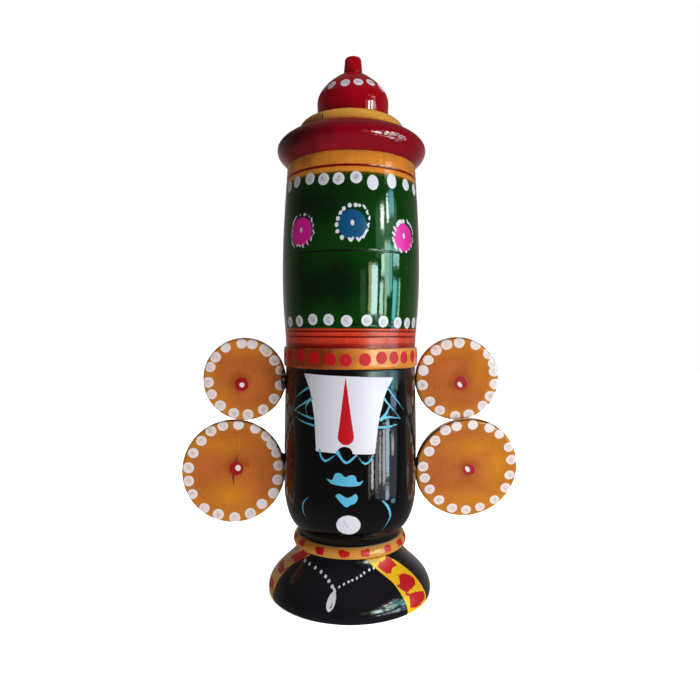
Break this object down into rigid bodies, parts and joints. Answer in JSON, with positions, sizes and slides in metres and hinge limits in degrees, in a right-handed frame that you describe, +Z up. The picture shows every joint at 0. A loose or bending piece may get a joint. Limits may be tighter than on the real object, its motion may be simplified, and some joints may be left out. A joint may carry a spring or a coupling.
{
  "type": "lacquered wooden venkateswara figure",
  "caption": "Turned, lacquered wooden figure of Venkateswara: tall crown with flared rim and knob, painted barrel head, domed base, and discs glued to the sides of the head.",
  "frame": {"origin": "centre of the base's round flat underside, where the figure stands", "axes": "+Z up the turning axis, towards the knob; the painted face looks along -Y; the viewer's right is +X"},
  "size_m": [0.1288, 0.0616, 0.2],
  "materials": {
    "black_lacquer": "glossy black lac on turned wood, with a mustard band and painted marks",
    "green_lacquer": "glossy translucent green lac on turned wood, with red, orange and mustard bands",
    "crimson_lacquer": "glossy crimson lac on turned wood",
    "mustard_lacquer": "glossy translucent mustard lac on turned wood, with white painted dots"
  },
  "bodies": {
    "root": {"base": "black_lacquer", "head": "black_lacquer", "crown": "green_lacquer", "knob": "crimson_lacquer", "upper_left_disc": "mustard_lacquer", "lower_left_disc": "mustard_lacquer", "upper_right_disc": "mustard_lacquer", "lower_right_disc": "mustard_lacquer"}
  },
  "joints": []
}
